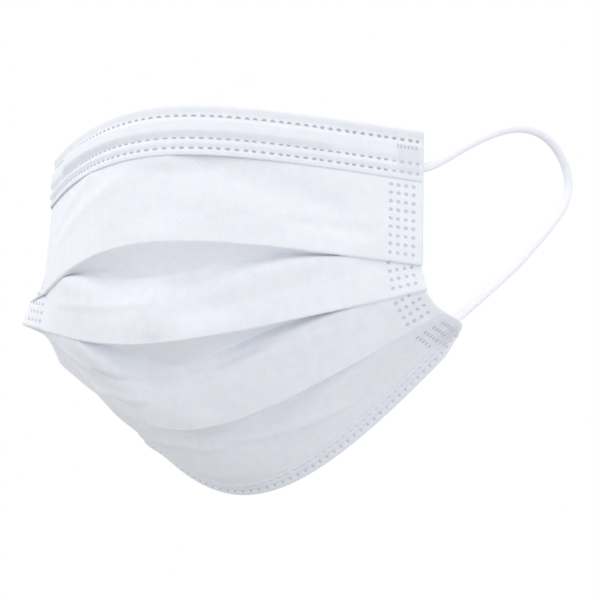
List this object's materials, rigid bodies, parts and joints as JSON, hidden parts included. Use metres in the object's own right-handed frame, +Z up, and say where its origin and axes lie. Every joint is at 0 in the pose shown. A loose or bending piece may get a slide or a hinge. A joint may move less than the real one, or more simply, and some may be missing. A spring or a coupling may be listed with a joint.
{
  "type": "surgical face mask",
  "caption": "Disposable pleated face mask in white nonwoven cloth, shaped as worn, with a nose wire, welded hems and two elastic ear loops.",
  "frame": {"origin": "middle of the upper rim, where the mask sits on the bridge of the nose", "axes": "+Z up, the front of the mask faces -Y and the wearer's head is at +Y, +X towards the wearer's left ear; the two sides mirror each other across X = 0"},
  "size_m": [0.1864, 0.1313, 0.1231],
  "materials": {
    "cloth": "matt spunbond nonwoven polypropylene",
    "hem_cloth": "matt spunbond nonwoven polypropylene, doubled and spot welded",
    "welded_cloth": "waffle-pressed weld, slightly glossy and see-through",
    "elastic": "soft knitted round elastic",
    "coated_wire": "plastic-coated iron wire"
  },
  "bodies": {
    "root": {"pleated_panel": "cloth", "nose_band": "hem_cloth", "nose_wire": "coated_wire", "chin_band": "hem_cloth", "loop_weld_upper_right": "welded_cloth", "loop_weld_lower_right": "welded_cloth", "ear_loop_right": "elastic", "loop_weld_upper_left": "welded_cloth", "loop_weld_lower_left": "welded_cloth", "ear_loop_left": "elastic"}
  },
  "joints": []
}
